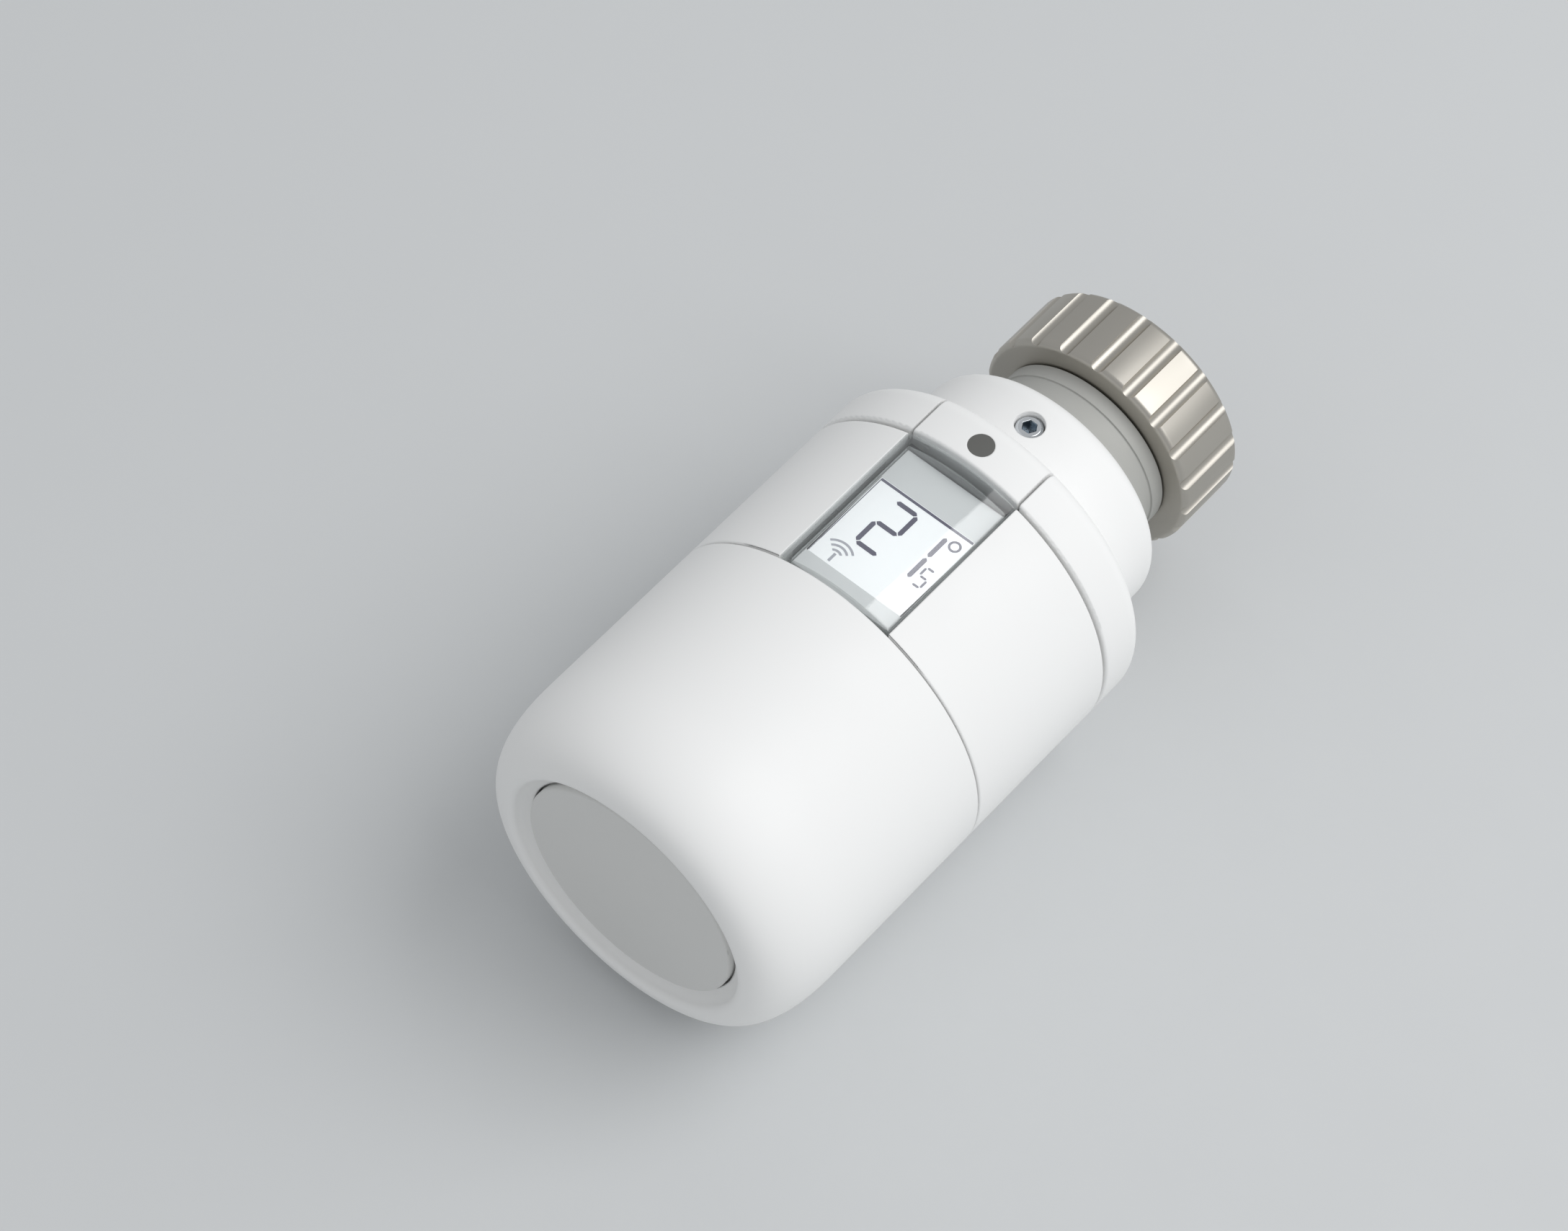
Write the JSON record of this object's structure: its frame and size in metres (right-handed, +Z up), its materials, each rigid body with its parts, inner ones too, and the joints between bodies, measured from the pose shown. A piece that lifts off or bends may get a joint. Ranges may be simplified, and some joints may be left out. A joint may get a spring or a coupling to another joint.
{
  "type": "electronic thermostatic radiator valve head",
  "caption": "Round white electronic radiator thermostat head with turning dial, end push button, display window and screw-clamped M30 x 1.5 valve adapter.",
  "frame": {"origin": "middle of the M30 x 1.5 valve thread, on the axis of the head", "axes": "+Y along the axis into the valve, -Y out of the button end towards the user, +Z up through the display window"},
  "size_m": [0.054, 0.1107, 0.054],
  "materials": {
    "nickel": "nickel-plated brass",
    "adapter_metal": "matt light grey coated zinc",
    "spring_steel": "spring steel",
    "white_housing": "satin white ABS",
    "brass": "turned brass",
    "chrome_screw": "chromed steel",
    "marker_ink": "grey",
    "steel": "zinc-plated steel",
    "drum_plastic": "natural acetal",
    "magnet": "bonded ferrite",
    "button_plastic": "satin light grey ABS",
    "clear_lens": "clear polycarbonate",
    "holder_plastic": "white polycarbonate",
    "lcd_glass": "reflective liquid crystal glass",
    "lcd_ink": "dark liquid crystal",
    "light_guide": "clear acrylic",
    "zebra_rubber": "striped silicone",
    "circuit_board": "green solder mask",
    "chip_plastic": "black epoxy",
    "shield_can": "tinned steel",
    "black_plastic": "black nylon",
    "chassis_plastic": "light grey glass-filled nylon",
    "cell_wrap": "blue cell sleeve",
    "contact_metal": "nickel-plated spring bronze",
    "motor_steel": "drawn steel can",
    "gear_plastic": "natural acetal",
    "output_plastic": "glass-filled acetal",
    "spindle_plastic": "white acetal",
    "red_wire": "red insulation",
    "black_wire": "black insulation"
  },
  "bodies": {
    "union_nut": {"union_nut": "nickel"},
    "adapter": {"valve_adapter": "adapter_metal", "adapter_circlip": "spring_steel"},
    "head": {"rear_housing": "white_housing", "screw_bush": "brass", "tab_spring": "spring_steel", "window_lens": "clear_lens", "display_holder": "holder_plastic", "lcd_panel": "lcd_glass", "lcd_segments": "lcd_ink", "light_guide": "light_guide", "lcd_connector": "zebra_rubber", "main_pcb": "circuit_board", "pcb_screws": "steel", "mcu_chip": "chip_plastic", "radio_module": "shield_can", "dial_sensor": "chip_plastic", "temperature_sensor": "chip_plastic", "button_pcb": "circuit_board", "tact_switch": "black_plastic", "chassis": "chassis_plastic", "chassis_screws": "steel", "cell_left": "cell_wrap", "cell_right": "cell_wrap", "front_contact": "contact_metal", "rear_contact_left": "contact_metal", "rear_contact_right": "contact_metal", "motor_can": "motor_steel", "motor_end_cap": "black_plastic", "gear_pins": "steel", "gear_plate": "chassis_plastic", "motor_wires": "red_wire", "battery_wires": "black_wire", "button_wires": "black_wire"},
    "clamp_screw": {"set_screw": "chrome_screw"},
    "tab": {"release_tab": "white_housing", "tab_dot": "marker_ink", "tab_pin": "steel"},
    "cap": {"sleeve": "white_housing", "inner_drum": "drum_plastic", "dial_retaining_ring": "spring_steel"},
    "dial": {"dial": "white_housing", "encoder_magnet_ring": "magnet"},
    "button": {"button_cap": "button_plastic", "button_springs": "spring_steel"},
    "switch_plunger": {"tact_plunger": "holder_plastic"},
    "motor_rotor": {"motor_shaft": "steel", "motor_pinion": "brass"},
    "first_gear": {"first_gear": "gear_plastic"},
    "second_gear": {"second_gear": "gear_plastic"},
    "output_gear": {"output_gear": "output_plastic"},
    "spindle": {"spindle": "spindle_plastic"}
  },
  "joints": [
    {"name": "nut_turn", "type": "hinge", "parent": "union_nut", "child": "adapter", "pos_m": [0, 0, 0], "axis": [0, 1, 0], "continuous": true},
    {"name": "head_swivel", "type": "hinge", "parent": "adapter", "child": "head", "pos_m": [0, -0.0227, 0], "axis": [0, 1, 0], "continuous": true},
    {"name": "clamp_screw_turn", "type": "hinge", "parent": "head", "child": "clamp_screw", "pos_m": [0, -0.0227, 0.016], "axis": [0, 0, 1], "continuous": true},
    {"name": "tab_press", "type": "hinge", "parent": "head", "child": "tab", "pos_m": [0, -0.0306, 0.0223], "axis": [1, 0, 0], "range_deg": [0, 3], "stiffness_Nm_per_rad": 0.3},
    {"name": "cap_pull", "type": "slide", "parent": "head", "child": "cap", "axis": [0, -1, 0], "range_m": [0, 0.06]},
    {"name": "dial_turn", "type": "hinge", "parent": "cap", "child": "dial", "pos_m": [0, -0.08475, 0], "axis": [0, 1, 0], "continuous": true},
    {"name": "button_push", "type": "slide", "parent": "cap", "child": "button", "axis": [0, 1, 0], "range_m": [0, 0.0008], "stiffness_N_per_m": 1500, "springref_m": -0.0006, "deforming": ["button_springs"]},
    {"name": "switch_click", "type": "slide", "parent": "head", "child": "switch_plunger", "axis": [0, 1, 0], "range_m": [0, 0.00025], "stiffness_N_per_m": 6000, "springref_m": -0.0002},
    {"name": "output_turn", "type": "hinge", "parent": "head", "child": "output_gear", "pos_m": [0, -0.04, 0], "axis": [0, 1, 0], "range_deg": [0, 1080]},
    {"name": "second_gear_turn", "type": "hinge", "parent": "head", "child": "second_gear", "pos_m": [-0.01398, -0.04, -0.0008], "axis": [0, 1, 0], "range_deg": [-3960, 0]},
    {"name": "first_gear_turn", "type": "hinge", "parent": "head", "child": "first_gear", "pos_m": [-0.00936, -0.04, -0.01023], "axis": [0, 1, 0], "range_deg": [0, 9900]},
    {"name": "motor_turn", "type": "hinge", "parent": "head", "child": "motor_rotor", "pos_m": [0, -0.04, -0.015], "axis": [0, 1, 0], "range_deg": [-24750, 0]},
    {"name": "spindle_push", "type": "slide", "parent": "head", "child": "spindle", "axis": [0, 1, 0], "range_m": [0, 0.0045]}
  ],
  "couplings": [
    {"joint": "output_turn", "follows": "spindle_push", "rad_per_m": 4188.8},
    {"joint": "second_gear_turn", "follows": "spindle_push", "rad_per_m": -15359},
    {"joint": "first_gear_turn", "follows": "spindle_push", "rad_per_m": 38397},
    {"joint": "motor_turn", "follows": "spindle_push", "rad_per_m": -95993}
  ]
}
